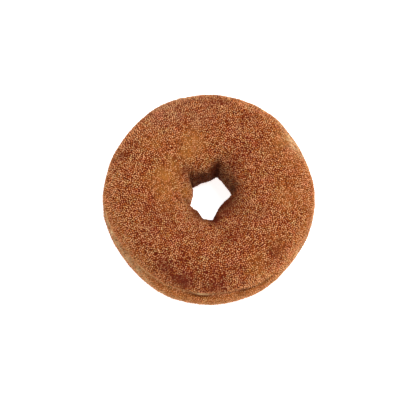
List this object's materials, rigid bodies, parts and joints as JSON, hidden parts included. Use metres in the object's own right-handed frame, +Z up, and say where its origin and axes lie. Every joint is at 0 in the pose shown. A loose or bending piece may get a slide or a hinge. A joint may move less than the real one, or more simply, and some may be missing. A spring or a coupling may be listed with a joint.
{
  "type": "ring doughnut",
  "caption": "Ring doughnut of fried cake dough with a star-shaped centre hole, a float line round its side and a sugared crust.",
  "frame": {"origin": "under the middle of the ring, on the surface that the doughnut rests on", "axes": "+Z up through the centre hole, +X and +Y across the ring"},
  "size_m": [0.0846, 0.086, 0.03],
  "materials": {
    "sugared_crust": "matte golden-brown fried crust, coated all over with cinnamon and granulated sugar"
  },
  "bodies": {
    "root": {"dough_ring": "sugared_crust"}
  },
  "joints": []
}
